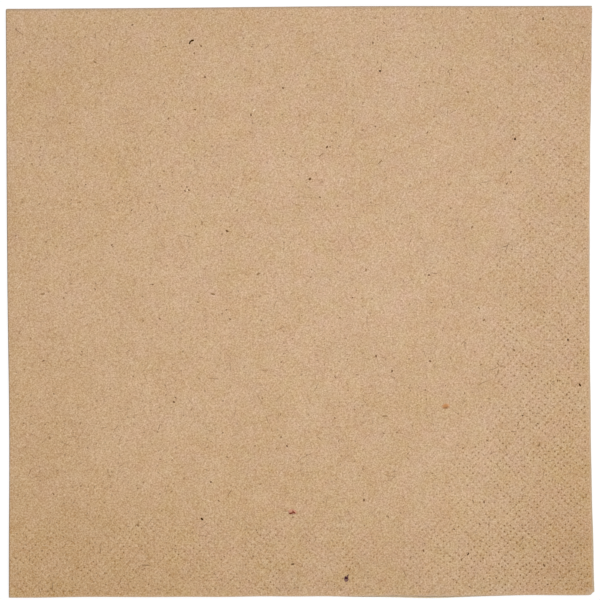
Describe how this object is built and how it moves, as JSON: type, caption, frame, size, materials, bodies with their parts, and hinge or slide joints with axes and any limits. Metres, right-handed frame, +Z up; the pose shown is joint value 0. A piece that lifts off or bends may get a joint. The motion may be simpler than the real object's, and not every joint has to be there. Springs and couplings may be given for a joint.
{
  "type": "paper napkin",
  "caption": "Square brown paper napkin folded twice into a flat quarter, with soft round folds on two sides, cut edges on the other two and a dotted embossed margin.",
  "frame": {"origin": "middle of the underside, on the surface that the napkin lies on", "axes": "+X from the first fold towards the side cut edges, +Y from the lower cut edges towards the second fold, +Z up through the layers"},
  "size_m": [0.1263, 0.127, 0.0016],
  "materials": {
    "kraft_tissue": "unbleached brown tissue, matt and soft, with fine fibres and dark flecks"
  },
  "bodies": {
    "root": {"napkin": "kraft_tissue"}
  },
  "joints": []
}
